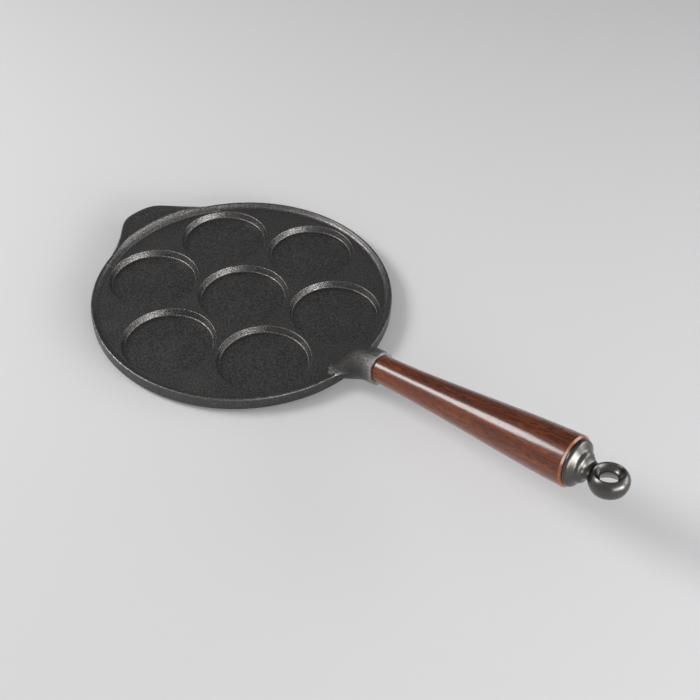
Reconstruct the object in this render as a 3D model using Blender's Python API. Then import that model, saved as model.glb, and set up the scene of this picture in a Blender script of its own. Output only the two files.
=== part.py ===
"""A cast iron pan with seven round wells, a turned wooden grip and an iron end cap with a hanging eye.

Units are metres and +Z is up. The flat underside lies on z = 0 with its centre at the origin, the
handle leaves along +X and the small helper grip stands opposite it, along -X.
"""

import math

import bmesh
import bpy
from mathutils import Vector

# The round plate
PLATE_DIAMETER = 0.230
LAND_HEIGHT = 0.0093
FOOT_INSET = 0.009
FOOT_CURVE_HEIGHT = 0.0042
PLATE_STEPS = 96

# The low rim round the plate
RIM_RISE = 0.0032
RIM_OUTER_ROUND = 0.0013
RIM_CREST_WIDTH = 0.0003
RIM_INNER_ROUND = 0.0010
RIM_INNER_LEAN = 55.0
RIM_FILLET = 0.0040

# The wells, one in the middle and the others round it
LAND_BETWEEN_WELLS = 0.0028
LAND_OUTSIDE_WELLS = 0.0002
WELL_DEPTH = 0.0051
WELL_LIP_ROUND = 0.0008
WELL_WALL_LEAN = 20.0
WELL_FLOOR_FILLET = 0.0012
WELLS_ROUND_MIDDLE = 6
WELL_STEPS = 40

# The neck that carries the handle
NECK_LENGTH = 0.0292
NECK_RISE = 0.0208
HANDLE_ANGLE = 11.75
NECK_HALF_SPREAD = 0.017
NECK_RAMP = 0.015
NECK_SINK = 0.0009
NECK_SIDE_RISE = 0.0016
NECK_FOOT_DROP = 0.0054
NECK_CORE_DEPTH = 0.0035
NECK_CORE_INSET = 0.0090
NECK_CORE_SHARE = 0.35
NECK_TOP_PULL_SHARE = 0.35
NECK_TOP_END_PULL_SHARE = 1.35
NECK_SIDE_PULL_SHARE = 0.60
NECK_FOOT_NARROWING_SHARE = 0.20
NECK_STEPS = 32
NECK_STATIONS = 14

# The round socket at the end of the neck
SOCKET_RADIUS = 0.0121
SOCKET_LENGTH = 0.0080
SOCKET_EDGE_ROUND = 0.0005
SOCKET_DEPTH = 0.0060
SOCKET_WALL = 0.0018
ROD_HOLE_DEPTH = 0.0120

# The helper grip opposite the handle
TAB_LENGTH = 0.0202
TAB_TURN = -1.5
TAB_FLANK_ANGLE = 12.3
TAB_FLANK_POWER = 3.4
TAB_CREST_RISE = 0.0024
TAB_CREST_HALF_ANGLE = 30.0
TAB_CREST_PLATEAU_ANGLE = 12.0
TAB_DISH = 0.0012
TAB_TIP_RISE = 0.0060
TAB_TIP_THICKNESS = 0.0044
TAB_ROOT_THICKNESS = 0.0085
TAB_SECTIONS = 33
TAB_SLOPE_MID_SHARE = 0.5
TAB_SLOPE_MID_RISE_SHARE = 0.36
TAB_TOP_SHARES = (0.12, 0.3, 0.5, 0.7, 0.86)
TAB_TOP_POWER = 1.4
TAB_UNDER_SHARES = (0.75, 0.5, 0.25)
TAB_UNDER_POWER = 1.5

# The turned grip
GRIP_LENGTH = 0.1591
GRIP_START_RADIUS = 0.0100
GRIP_END_RADIUS = 0.0170
GRIP_SWELL_SHARES = (0.0, 0.04, 0.86, 1.0)
GRIP_CHAMFER = 0.0014
GRIP_PROFILE_POINTS = 12
GRIP_STEPS = 36

# The tie rod inside the grip
ROD_RADIUS = 0.0040
ROD_END_CHAMFER = 0.0006
ROD_STEPS = 20

# The end cap
FLANGE_RADIUS = 0.0154
FLANGE_BACK_ROUND = 0.0004
FLANGE_FRONT_ROUND = 0.0032
FLANGE_THICKNESS = 0.0038
FLANGE_FACE_RISE = 0.0008
BELL_LENGTH = 0.0100
BELL_SHOULDER_SHARE = 0.62
WAIST_HALF_WIDTH = 0.0071
WAIST_HALF_HEIGHT = 0.0043
CAP_THREAD_DEPTH = 0.0065
CAP_STEPS = 36

# The hanging eye
EYE_RADIUS = 0.0125
EYE_HALF_HEIGHT = 0.0047
EYE_EDGE_ROUND = 0.0004
EYE_DROP = 0.0009
EYE_TWIST = 5.0
EYE_HOLE_RADIUS = 0.0054
EYE_HOLE_HALF_LAND = 0.0012
EYE_OVERLAP = 0.0030
EYE_STEPS = 36

# Gaps and overruns
FIT_GAP = 0.0003
CUT_OVERRUN = 0.0020
MERGE_DISTANCE = 0.00001
SHARP_ANGLE = 40.0

PLATE_RADIUS = PLATE_DIAMETER / 2
CREST_HEIGHT = LAND_HEIGHT + RIM_RISE


def clear_scene():
    for thing in list(bpy.data.objects):
        bpy.data.objects.remove(thing, do_unlink=True)


def finish(name, colour, roughness, metallic):
    """A plain Principled material."""
    material = bpy.data.materials.new(name)
    material.use_nodes = True
    shader = material.node_tree.nodes["Principled BSDF"]
    shader.inputs["Base Color"].default_value = (*colour, 1.0)
    shader.inputs["Roughness"].default_value = roughness
    shader.inputs["Metallic"].default_value = metallic
    return material


def arc(centre_r, centre_z, radius, start, end, pieces):
    """Points of an arc in the profile plane, angles in degrees from the outward direction."""
    points = []
    for i in range(pieces + 1):
        angle = math.radians(start + (end - start) * i / pieces)
        points.append((centre_r + radius * math.cos(angle), centre_z + radius * math.sin(angle)))
    return points


def ease(share):
    """Smooth step from 0 to 1."""
    share = min(max(share, 0.0), 1.0)
    return share * share * (3 - 2 * share)


def add_object(name, mesh, material=None):
    thing = bpy.data.objects.new(name, mesh)
    bpy.context.scene.collection.objects.link(thing)
    if material:
        mesh.materials.append(material)
    return thing


def turned(name, profile, steps, material=None):
    """A solid turned about its own Z axis from a profile that runs from the top down its outer side.

    A profile that starts away from the axis is closed on itself and leaves a bore.
    """
    shape = bmesh.new()
    points = [shape.verts.new((r, 0.0, z)) for r, z in profile]
    pairs = list(zip(points, points[1:]))
    if profile[0][0] > 0:
        pairs.append((points[-1], points[0]))
    edges = [shape.edges.new(pair) for pair in pairs]
    about = {"cent": (0.0, 0.0, 0.0), "axis": (0.0, 0.0, 1.0), "angle": 2 * math.pi}
    bmesh.ops.spin(shape, geom=points + edges, steps=steps, use_merge=True, **about)
    bmesh.ops.remove_doubles(shape, verts=shape.verts, dist=MERGE_DISTANCE)
    on_axis = [vertex for vertex in shape.verts if vertex.co.xy.length < MERGE_DISTANCE]
    bmesh.ops.dissolve_verts(shape, verts=on_axis)
    return add_object(name, closed_mesh(name, shape), material)


def closed_mesh(name, shape):
    """The mesh of a closed shape, facing out and shaded smooth but for its sharp edges."""
    bmesh.ops.recalc_face_normals(shape, faces=shape.faces)
    if shape.calc_volume(signed=True) < 0:
        bmesh.ops.reverse_faces(shape, faces=shape.faces)
    mesh = bpy.data.meshes.new(name)
    shape.to_mesh(mesh)
    shape.free()
    mesh.shade_smooth()
    mesh.set_sharp_from_angle(angle=math.radians(SHARP_ANGLE))
    return mesh


def skinned(name, rings, material=None):
    """A closed solid through rings of points, each ring with as many points as the next."""
    shape = bmesh.new()
    loops = [[shape.verts.new(point) for point in ring] for ring in rings]
    count = len(loops[0])
    for near, far in zip(loops, loops[1:]):
        for i in range(count):
            shape.faces.new((near[i], near[(i + 1) % count], far[(i + 1) % count], far[i]))
    shape.faces.new(list(reversed(loops[0])))
    shape.faces.new(loops[-1])
    return add_object(name, closed_mesh(name, shape), material)


def helper(thing):
    """Marks a cutter, or a shape that is joined into another, as no piece of its own."""
    thing.hide_render = True
    thing.display_type = "WIRE"
    return thing


def combine(thing, other, operation):
    modifier = thing.modifiers.new(f"{operation.lower()} {other.name}", "BOOLEAN")
    modifier.operation = operation
    modifier.object = helper(other)
    modifier.solver = "EXACT"


def rim_base_radius():
    """Where the fillet inside the rim runs out on the land."""
    lean = math.radians(RIM_INNER_LEAN)
    curved_drop = (RIM_INNER_ROUND + RIM_FILLET) * (1 - math.cos(lean))
    curved_run = (RIM_INNER_ROUND + RIM_FILLET) * math.sin(lean)
    straight_run = (RIM_RISE - curved_drop) / math.tan(lean)
    return PLATE_RADIUS - RIM_OUTER_ROUND - RIM_CREST_WIDTH - curved_run - straight_run


def well_radius():
    """Three wells and the land between them fill the width inside the rim."""
    return (rim_base_radius() - LAND_OUTSIDE_WELLS - LAND_BETWEEN_WELLS) / 3


def well_centres():
    pitch = 2 * well_radius() + LAND_BETWEEN_WELLS
    centres = [(0.0, 0.0)]
    for i in range(WELLS_ROUND_MIDDLE):
        angle = 2 * math.pi * (i + 0.5) / WELLS_ROUND_MIDDLE
        centres.append((pitch * math.cos(angle), pitch * math.sin(angle)))
    return centres


def plate_profile():
    """Land, inner slope, crest, wall and underside of the plate."""
    base = rim_base_radius()
    lean = RIM_INNER_LEAN
    inner_centre = PLATE_RADIUS - RIM_OUTER_ROUND - RIM_CREST_WIDTH
    points = [(0.0, LAND_HEIGHT)]
    points += arc(base, LAND_HEIGHT + RIM_FILLET, RIM_FILLET, -90, -90 + lean, 3)
    points += arc(inner_centre, CREST_HEIGHT - RIM_INNER_ROUND, RIM_INNER_ROUND, 90 + lean, 90, 2)
    outer_centre = PLATE_RADIUS - RIM_OUTER_ROUND
    points += arc(outer_centre, CREST_HEIGHT - RIM_OUTER_ROUND, RIM_OUTER_ROUND, 90, 0, 3)
    for i in range(6):
        angle = math.radians(90 * i / 5)
        radius = PLATE_RADIUS - FOOT_INSET * (1 - math.cos(angle))
        points.append((radius, FOOT_CURVE_HEIGHT * (1 - math.sin(angle))))
    points.append((0.0, 0.0))
    return points


def well_cutter(number, centre):
    """The space of one well, with its rounded lip, leaning wall and filleted floor."""
    radius = well_radius()
    lean = math.radians(WELL_WALL_LEAN)
    floor = LAND_HEIGHT - WELL_DEPTH
    wall_top = radius - WELL_LIP_ROUND * math.cos(lean)
    wall_top_height = LAND_HEIGHT - WELL_LIP_ROUND * (1 - math.sin(lean))
    wall_foot_height = floor + WELL_FLOOR_FILLET * (1 - math.sin(lean))
    wall_foot = wall_top - (wall_top_height - wall_foot_height) * math.tan(lean)
    floor_centre = wall_foot - WELL_FLOOR_FILLET * math.cos(lean)
    top = CREST_HEIGHT + CUT_OVERRUN
    profile = [(0.0, top), (radius, top)]
    profile += arc(radius, LAND_HEIGHT - WELL_LIP_ROUND, WELL_LIP_ROUND, 90, 180 - WELL_WALL_LEAN, 2)
    profile += arc(floor_centre, floor + WELL_FLOOR_FILLET, WELL_FLOOR_FILLET, -WELL_WALL_LEAN, -90, 2)
    profile.append((0.0, floor))
    cutter = turned(f"well_cutter_{number}", profile, WELL_STEPS)
    cutter.location = (*centre, 0.0)
    cutter.rotation_euler.z = math.pi / WELL_STEPS
    return cutter


def handle_direction():
    angle = math.radians(HANDLE_ANGLE)
    return Vector((math.cos(angle), 0.0, math.sin(angle)))


def handle_up():
    angle = math.radians(HANDLE_ANGLE)
    return Vector((-math.sin(angle), 0.0, math.cos(angle)))


def socket_face():
    """Centre of the socket's end face, where the visible grip begins."""
    return Vector((PLATE_RADIUS + NECK_LENGTH, 0.0, LAND_HEIGHT + NECK_RISE))


def top_height(radius):
    """Height of the plate's upper side, without its wells, at a distance from the middle."""
    profile = plate_profile()
    for (near, low), (far, high) in zip(profile, profile[1:]):
        if near <= radius <= far:
            return low + (high - low) * (radius - near) / (far - near)
    return CREST_HEIGHT


def neck_line(angle):
    """Start point, start pull, end point and end pull of one line of the neck, from plate to socket.

    The angle runs round the socket: 0 and 180 are its sides, 90 its top and 270 its underside.
    """
    side = math.cos(math.radians(angle))
    lift = math.sin(math.radians(angle))
    wall = PLATE_RADIUS - NECK_SINK
    start_y = NECK_HALF_SPREAD * side * (1 + NECK_FOOT_NARROWING_SHARE * min(lift, 0.0))
    start_x = math.sqrt(wall * wall - start_y * start_y) - NECK_RAMP * max(lift, 0.0)
    side_height = LAND_HEIGHT + NECK_SIDE_RISE
    start_share = end_share = NECK_SIDE_PULL_SHARE
    if lift > 0:
        start_z = min(top_height(math.hypot(start_x, start_y)) - NECK_SINK, side_height)
        start_share += (NECK_TOP_PULL_SHARE - NECK_SIDE_PULL_SHARE) * lift
        end_share += (NECK_TOP_END_PULL_SHARE - NECK_SIDE_PULL_SHARE) * lift
    else:
        start_z = side_height + (side_height - LAND_HEIGHT + NECK_FOOT_DROP) * lift
    start = Vector((start_x, start_y, start_z))
    round_rim = Vector((abs(start_y), -start_x * math.copysign(1.0, start_y), 0.0)).normalized()
    start_pull = Vector((1.0, 0.0, 0.0)).lerp(round_rim, abs(side) ** 2).normalized()
    end = socket_face() - handle_direction() * SOCKET_LENGTH
    end += SOCKET_RADIUS * (Vector((0.0, side, 0.0)) + lift * handle_up())
    reach = (end - start).length
    start_pull *= reach * start_share
    end_pull = handle_direction() * reach * end_share
    return start, start_pull, end, end_pull


def on_curve(line, share):
    """Point of a curve given by its two ends and the pull at each."""
    start, start_pull, end, end_pull = line
    t = share
    return (
        start * (2 * t**3 - 3 * t**2 + 1)
        + start_pull * (t**3 - 2 * t**2 + t)
        + end * (3 * t**2 - 2 * t**3)
        + end_pull * (t**3 - t**2)
    )


def neck_shape():
    """The flare from the plate, running into the round socket."""
    lines = [neck_line(360 * i / NECK_STEPS) for i in range(NECK_STEPS)]
    core = Vector((PLATE_RADIUS - NECK_CORE_INSET, 0.0, LAND_HEIGHT - NECK_CORE_DEPTH))
    rings = [[line[0].lerp(core, NECK_CORE_SHARE) for line in lines]]
    for k in range(NECK_STATIONS + 1):
        rings.append([on_curve(line, k / NECK_STATIONS) for line in lines])
    face = socket_face()
    along = handle_direction()
    for back, inward in ((SOCKET_EDGE_ROUND, 0.0), (0.0, SOCKET_EDGE_ROUND)):
        ring = []
        for i in range(NECK_STEPS):
            angle = 2 * math.pi * i / NECK_STEPS
            outward = Vector((0.0, math.cos(angle), 0.0)) + math.sin(angle) * handle_up()
            ring.append(face - along * back + outward * (SOCKET_RADIUS - inward))
        rings.append(ring)
    return skinned("neck_shape", rings)


def handle_frame():
    """The handle's own axis: its Z runs from the socket's end face towards the eye."""
    frame = bpy.data.objects.new("handle_axis", None)
    bpy.context.scene.collection.objects.link(frame)
    frame.location = socket_face()
    frame.rotation_euler = (0.0, math.radians(90 - HANDLE_ANGLE), 0.0)
    return frame


def on_handle(thing, frame, along=0.0):
    thing.parent = frame
    thing.location = (0.0, 0.0, along)
    return thing


def socket_cutter(frame):
    """The socket's counterbore for the grip, and the hole beyond it for the tie rod."""
    bore = SOCKET_RADIUS - SOCKET_WALL
    rod_hole = ROD_RADIUS + FIT_GAP
    deep = -SOCKET_DEPTH - ROD_HOLE_DEPTH
    profile = [(0.0, CUT_OVERRUN), (bore, CUT_OVERRUN), (bore, -SOCKET_DEPTH)]
    profile += [(rod_hole, -SOCKET_DEPTH), (rod_hole, deep), (0.0, deep)]
    return on_handle(turned("socket_cutter", profile, GRIP_STEPS), frame)


def tab_reach(angle):
    """Share of the helper grip's length at an angle from its middle, 0 at its ends."""
    bell, end = (
        1 / (1 + (abs(a) / TAB_FLANK_ANGLE) ** TAB_FLANK_POWER) for a in (angle, TAB_CREST_HALF_ANGLE)
    )
    return (bell - end) / (1 - end)


def tab_section(angle):
    """Closed outline of the helper grip where a radial plane cuts it, as (radius, height) points."""
    reach = tab_reach(angle)
    crest_range = TAB_CREST_HALF_ANGLE - TAB_CREST_PLATEAU_ANGLE
    swell = ease((TAB_CREST_HALF_ANGLE - abs(angle)) / crest_range)
    wall = PLATE_RADIUS - NECK_SINK
    crest_z = CREST_HEIGHT - NECK_SINK + (TAB_CREST_RISE + NECK_SINK) * swell
    crest_r = PLATE_RADIUS - RIM_OUTER_ROUND - RIM_CREST_WIDTH
    crest_r += (crest_z - CREST_HEIGHT) / math.tan(math.radians(RIM_INNER_LEAN))
    tip = wall + (TAB_LENGTH + NECK_SINK) * reach
    tip_z = crest_z + (LAND_HEIGHT + TAB_TIP_RISE - crest_z) * reach
    root_z = crest_z - TAB_DISH
    nose = NECK_SINK / 2 + (TAB_TIP_THICKNESS - NECK_SINK) / 2 * math.sqrt(reach)
    foot_z = CREST_HEIGHT - TAB_ROOT_THICKNESS
    inner_r = rim_base_radius()
    points = [(inner_r, LAND_HEIGHT - NECK_SINK)]
    mid_r = inner_r + (crest_r - inner_r) * TAB_SLOPE_MID_SHARE
    points.append((mid_r, LAND_HEIGHT + (crest_z - LAND_HEIGHT) * TAB_SLOPE_MID_RISE_SHARE))
    points.append((crest_r - RIM_INNER_ROUND, crest_z - RIM_INNER_ROUND / 2))
    points.append((crest_r, crest_z))
    for share in TAB_TOP_SHARES:
        radius = crest_r + (tip - nose - crest_r) * share
        points.append((radius, root_z + (tip_z - root_z) * share**TAB_TOP_POWER))
    points += arc(tip - nose, tip_z - nose, nose, 90, -90, 4)
    for share in TAB_UNDER_SHARES:
        radius = wall + (tip - nose - wall) * share
        points.append((radius, foot_z + (tip_z - 2 * nose - foot_z) * share**TAB_UNDER_POWER))
    points.append((wall, foot_z))
    points.append((inner_r, foot_z))
    return points


def tab_shape():
    """The helper grip: a short lip that swells out of the rim and turns a little upwards."""
    rings = []
    for i in range(TAB_SECTIONS):
        angle = TAB_CREST_HALF_ANGLE * (2 * i / (TAB_SECTIONS - 1) - 1)
        around = math.radians(180 + TAB_TURN + angle)
        ring = [(r * math.cos(around), r * math.sin(around), z) for r, z in tab_section(angle)]
        rings.append(ring)
    return skinned("tab_shape", rings)


def pan_casting(frame):
    iron = finish("seasoned cast iron", (0.045, 0.045, 0.047), 0.45, 0.6)
    pan = turned("pan_casting", plate_profile(), PLATE_STEPS, iron)
    combine(pan, neck_shape(), "UNION")
    combine(pan, tab_shape(), "UNION")
    for number, centre in enumerate(well_centres(), 1):
        combine(pan, well_cutter(number, centre), "DIFFERENCE")
    combine(pan, socket_cutter(frame), "DIFFERENCE")
    return pan


def grip_radius(share):
    """Radius of the grip at a share of its length: a slow start, a full swell and an even end."""
    a, b, c, d = (
        GRIP_START_RADIUS + (GRIP_END_RADIUS - GRIP_START_RADIUS) * s for s in GRIP_SWELL_SHARES
    )
    t, u = share, 1 - share
    return a * u**3 + 3 * b * u * u * t + 3 * c * u * t * t + d * t**3


def wood_grip(frame):
    """The grip, with its spigot in the socket, its bore for the tie rod and its broken end edge."""
    wood = finish("stained hardwood", (0.23, 0.06, 0.02), 0.3, 0.0)
    bore = ROD_RADIUS + FIT_GAP
    spigot_end = -SOCKET_DEPTH + FIT_GAP
    spigot = min(GRIP_START_RADIUS, SOCKET_RADIUS - SOCKET_WALL - FIT_GAP)
    body = GRIP_LENGTH - GRIP_CHAMFER
    profile = [(bore, GRIP_LENGTH), (GRIP_END_RADIUS - GRIP_CHAMFER, GRIP_LENGTH)]
    for i in range(GRIP_PROFILE_POINTS):
        share = 1 - i / (GRIP_PROFILE_POINTS - 1)
        profile.append((grip_radius(share), body * share))
    profile += [(spigot, spigot_end), (bore, spigot_end)]
    return on_handle(turned("wood_grip", profile, GRIP_STEPS, wood), frame)


def tie_rod(frame):
    """The threaded rod that draws the cap, the grip and the neck together."""
    steel = finish("zinc plated steel", (0.55, 0.55, 0.56), 0.35, 1.0)
    low = -SOCKET_DEPTH - ROD_HOLE_DEPTH + FIT_GAP
    high = GRIP_LENGTH + FIT_GAP + CAP_THREAD_DEPTH - FIT_GAP
    small = ROD_RADIUS - ROD_END_CHAMFER
    profile = [(0.0, high), (small, high), (ROD_RADIUS, high - ROD_END_CHAMFER)]
    profile += [(ROD_RADIUS, low + ROD_END_CHAMFER), (small, low), (0.0, low)]
    return on_handle(turned("tie_rod", profile, ROD_STEPS, steel), frame)


def bell_profile():
    """The cap from its waist down to the flange, heights measured from the flange's back face."""
    top = BELL_LENGTH + EYE_OVERLAP
    waist = WAIST_HALF_WIDTH
    shoulder = waist + (FLANGE_RADIUS - FLANGE_FRONT_ROUND - waist) * BELL_SHOULDER_SHARE
    points = [(0.0, top), (waist, top)]
    cove = BELL_LENGTH - FLANGE_THICKNESS - FLANGE_FACE_RISE
    for i in range(6):
        angle = math.radians(90 * i / 5)
        radius = shoulder - (shoulder - waist) * math.cos(angle)
        points.append((radius, BELL_LENGTH - cove * math.sin(angle)))
    edge = FLANGE_RADIUS - FLANGE_FRONT_ROUND
    points += arc(edge, FLANGE_THICKNESS - FLANGE_FRONT_ROUND, FLANGE_FRONT_ROUND, 80, 0, 4)
    back = FLANGE_BACK_ROUND
    points += arc(FLANGE_RADIUS - back, back, back, 0, -90, 2)
    points.append((0.0, 0.0))
    return points


def bell_shape():
    """The bell, turned, then flattened and lowered towards its waist to meet the eye."""
    iron = finish("blackened polished iron", (0.09, 0.088, 0.085), 0.25, 0.9)
    bell = turned("eye_cap", bell_profile(), CAP_STEPS, iron)
    foot = FLANGE_THICKNESS + FLANGE_FACE_RISE
    flat_share = 1 - WAIST_HALF_HEIGHT / WAIST_HALF_WIDTH
    for vertex in bell.data.vertices:
        share = ease((vertex.co.z - foot) / (BELL_LENGTH - foot))
        vertex.co.x = vertex.co.x * (1 - flat_share * share) + EYE_DROP * share
    return bell


def eye_profile():
    """The eye turned about the axis of its hole: a ball cut flat above and below."""
    limit = math.degrees(math.asin(EYE_HALF_HEIGHT / EYE_RADIUS))
    outside = arc(0.0, 0.0, EYE_RADIUS, limit, -limit, 8)
    return [(0.0, EYE_HALF_HEIGHT)] + outside + [(0.0, -EYE_HALF_HEIGHT)]


def eye_cutter_profile():
    """The hole of the eye with a wide countersink each way, opening on beyond the flats."""
    crest = math.sqrt(EYE_RADIUS**2 - EYE_HALF_HEIGHT**2) - EYE_EDGE_ROUND
    slope = (crest - EYE_HOLE_RADIUS) / (EYE_HALF_HEIGHT - EYE_HOLE_HALF_LAND)
    top = EYE_HALF_HEIGHT + CUT_OVERRUN / 2
    wide = EYE_HOLE_RADIUS + (top - EYE_HOLE_HALF_LAND) * slope
    profile = [(0.0, top), (wide, top), (EYE_HOLE_RADIUS, EYE_HOLE_HALF_LAND)]
    profile += [(EYE_HOLE_RADIUS, -EYE_HOLE_HALF_LAND), (wide, -top), (0.0, -top)]
    return profile


def on_eye(thing, frame):
    """Places a shape turned about Z on the axis of the eye's hole."""
    on_handle(thing, frame)
    along = GRIP_LENGTH + FIT_GAP + BELL_LENGTH + EYE_RADIUS
    thing.location = (EYE_DROP, 0.0, along)
    thing.rotation_euler = (0.0, math.radians(-90), -math.radians(EYE_TWIST))
    return thing


def eye_cap(frame):
    """The end cap: a flanged bell, its waist and the eye, with a threaded hole for the tie rod."""
    back = GRIP_LENGTH + FIT_GAP
    cap = on_handle(bell_shape(), frame, back)
    combine(cap, on_eye(turned("eye_shape", eye_profile(), EYE_STEPS), frame), "UNION")
    combine(cap, on_eye(turned("eye_cutter", eye_cutter_profile(), EYE_STEPS), frame), "DIFFERENCE")
    hole = ROD_RADIUS + FIT_GAP
    depth = CAP_THREAD_DEPTH
    profile = [(0.0, depth), (hole, depth), (hole, -CUT_OVERRUN), (0.0, -CUT_OVERRUN)]
    combine(cap, on_handle(turned("cap_thread_cutter", profile, ROD_STEPS), frame, back), "DIFFERENCE")
    return cap


def main():
    clear_scene()
    frame = handle_frame()
    pan_casting(frame)
    wood_grip(frame)
    tie_rod(frame)
    eye_cap(frame)


main()
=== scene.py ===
import math

import bmesh
import bpy
from mathutils import Euler, Matrix, Vector


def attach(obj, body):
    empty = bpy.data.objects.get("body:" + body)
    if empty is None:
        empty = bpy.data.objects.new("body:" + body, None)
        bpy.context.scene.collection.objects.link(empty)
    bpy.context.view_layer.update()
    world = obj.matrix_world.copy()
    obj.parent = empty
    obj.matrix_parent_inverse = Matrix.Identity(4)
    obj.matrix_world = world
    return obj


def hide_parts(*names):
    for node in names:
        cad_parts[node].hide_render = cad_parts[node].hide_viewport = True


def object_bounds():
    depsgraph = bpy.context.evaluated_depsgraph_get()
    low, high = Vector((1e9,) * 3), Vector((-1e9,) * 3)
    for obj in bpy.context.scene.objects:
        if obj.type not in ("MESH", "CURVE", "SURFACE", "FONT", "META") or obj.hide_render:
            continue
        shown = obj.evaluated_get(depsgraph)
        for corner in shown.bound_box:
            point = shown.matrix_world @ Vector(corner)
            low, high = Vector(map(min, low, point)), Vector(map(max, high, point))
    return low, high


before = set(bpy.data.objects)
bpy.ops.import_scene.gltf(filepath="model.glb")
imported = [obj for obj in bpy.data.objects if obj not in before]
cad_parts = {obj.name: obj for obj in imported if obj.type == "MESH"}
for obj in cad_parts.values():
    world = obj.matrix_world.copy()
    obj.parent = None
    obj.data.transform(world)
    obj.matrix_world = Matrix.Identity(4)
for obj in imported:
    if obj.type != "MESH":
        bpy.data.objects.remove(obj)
cadLow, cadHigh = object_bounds()
scene = bpy.context.scene
print("packed model loaded")


# Mesh tools

sliver = 0.00001  # points closer together than this are taken as one
shortEdge = 0.0002  # an edge shorter than this doesn't make its corner look sharper
broadFace = 0.000008  # a face larger than this, in square metres, takes no wear from its corners
flatWeight = 60  # how far large flat faces lead the smooth shading


def arcPoints(r, z, radius, start, end, pieces):  # angles in degrees from the outward direction
    points = []
    for i in range(pieces + 1):
        angle = math.radians(start + (end - start) * i / pieces)
        points.append((r + radius * math.cos(angle), z + radius * math.sin(angle)))
    return points


def easeInOut(share):
    share = min(max(share, 0.0), 1.0)
    return share * share * (3 - 2 * share)


def mix(a, b, share):
    return a + (b - a) * share


def turnFacesOut(shape):
    bmesh.ops.recalc_face_normals(shape, faces=shape.faces)
    if shape.calc_volume(signed=True) < 0:
        bmesh.ops.reverse_faces(shape, faces=shape.faces)


def makeObject(name, shape):
    turnFacesOut(shape)
    mesh = bpy.data.meshes.new(name)
    shape.to_mesh(mesh)
    shape.free()
    thing = bpy.data.objects.new(name, mesh)
    scene.collection.objects.link(thing)
    return thing


def skinRings(name, rings, capped=True):  # a closed solid through rings with equal numbers of points
    shape = bmesh.new()
    loops = [[shape.verts.new(point) for point in ring] for ring in rings]
    count = len(loops[0])
    pairs = list(zip(loops, loops[1:]))
    if not capped:
        pairs.append((loops[-1], loops[0]))
    for near, far in pairs:
        for i in range(count):
            j = (i + 1) % count
            shape.faces.new((near[i], near[j], far[j], far[i]))
    if capped:
        shape.faces.new(list(reversed(loops[0])))
        shape.faces.new(loops[-1])
    return makeObject(name, shape)


def turnProfile(name, profile, steps, capped=True):  # a profile of (radius, height), turned about Z
    rings = []
    for r, z in profile:
        angles = [2 * math.pi * i / steps for i in range(steps)]
        rings.append([(r * math.cos(a), r * math.sin(a), z) for a in angles])
    return skinRings(name, rings, capped)


def applyModifiers(thing):
    bpy.context.view_layer.update()
    solved = thing.evaluated_get(bpy.context.evaluated_depsgraph_get())
    mesh = bpy.data.meshes.new_from_object(solved)
    thing.modifiers.clear()
    thing.data = mesh


def combine(thing, tools, operation):  # joins or cuts with each tool in turn, then removes the tools
    for tool in tools:
        step = thing.modifiers.new("combine", "BOOLEAN")
        step.operation = operation
        step.object = tool
        step.solver = "EXACT"
    applyModifiers(thing)
    for tool in tools:
        bpy.data.objects.remove(tool, do_unlink=True)


def removeSlivers(thing):  # the hair-thin faces that joins and cuts leave
    shape = bmesh.new()
    shape.from_mesh(thing.data)
    bmesh.ops.remove_doubles(shape, verts=shape.verts, dist=sliver)
    bmesh.ops.dissolve_degenerate(shape, edges=shape.edges, dist=sliver)
    bmesh.ops.triangulate(shape, faces=[face for face in shape.faces if len(face.verts) > 4])
    bmesh.ops.dissolve_degenerate(shape, edges=shape.edges, dist=sliver)
    shape.to_mesh(thing.data)
    shape.free()


def keepOwnPlace(thing, place):  # stores each point's place seen from the handle, which the finishes follow
    own = thing.data.attributes.new("own place", "FLOAT_VECTOR", "POINT")
    for vertex, value in zip(thing.data.vertices, own.data):
        value.vector = place.inverted() @ vertex.co


def shadeRound(thing, sharpAngle):  # smooth shading that keeps flats flat and real corners crisp
    thing.data.shade_smooth()
    thing.data.set_sharp_from_angle(angle=math.radians(sharpAngle))
    weighted = thing.modifiers.new("even normals", "WEIGHTED_NORMAL")
    weighted.keep_sharp = True
    weighted.weight = flatWeight


def markEdges(thing, look):  # stores how sharply each point stands out, for the worn edges
    shape = bmesh.new()
    shape.from_mesh(thing.data)
    shape.verts.ensure_lookup_table()
    layer = shape.verts.layers.float.new("edge")
    for vertex in shape.verts:
        turn = 0.0
        for edge in vertex.link_edges:
            if len(edge.link_faces) == 2:
                turn = max(turn, edge.calc_face_angle_signed(0.0) / max(edge.calc_length(), shortEdge))
        if max(face.calc_area() for face in vertex.link_faces) > broadFace:
            turn = 0.0
        vertex[layer] = easeInOut((turn - look["wearFrom"]) / (look["wearFull"] - look["wearFrom"]))
    shape.to_mesh(thing.data)
    shape.free()


# The cast plate with its rim and wells

plate = {
    "landHeight": 0.0093,  # the flat upper side, above the underside
    "rimRise": 0.0032,
    "rimOuterRound": 0.0013,
    "rimCrest": 0.0003,  # the flat between the rim's two rounds
    "rimInnerRound": 0.0010,
    "rimLean": 55.0,  # degrees from the level
    "rimFillet": 0.0040,
    "footInset": 0.009,
    "footCurve": 0.0042,
    "footPieces": 16,
    "filletPieces": 8,
    "crestPieces": 5,
    "steps": 288,
    "sharpAngle": 50,
    "wearFrom": 150.0,  # how sharply a corner turns, in radians per metre
    "wearFull": 900.0,
}

wells = {
    "landBetween": 0.0028,
    "landOutside": 0.0002,
    "depth": 0.0051,
    "lipRound": 0.0008,
    "wallLean": 20.0,  # degrees from the upright
    "floorFillet": 0.0012,
    "roundMiddle": 6,
    "roundPieces": 6,
    "steps": 96,
}

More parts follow.
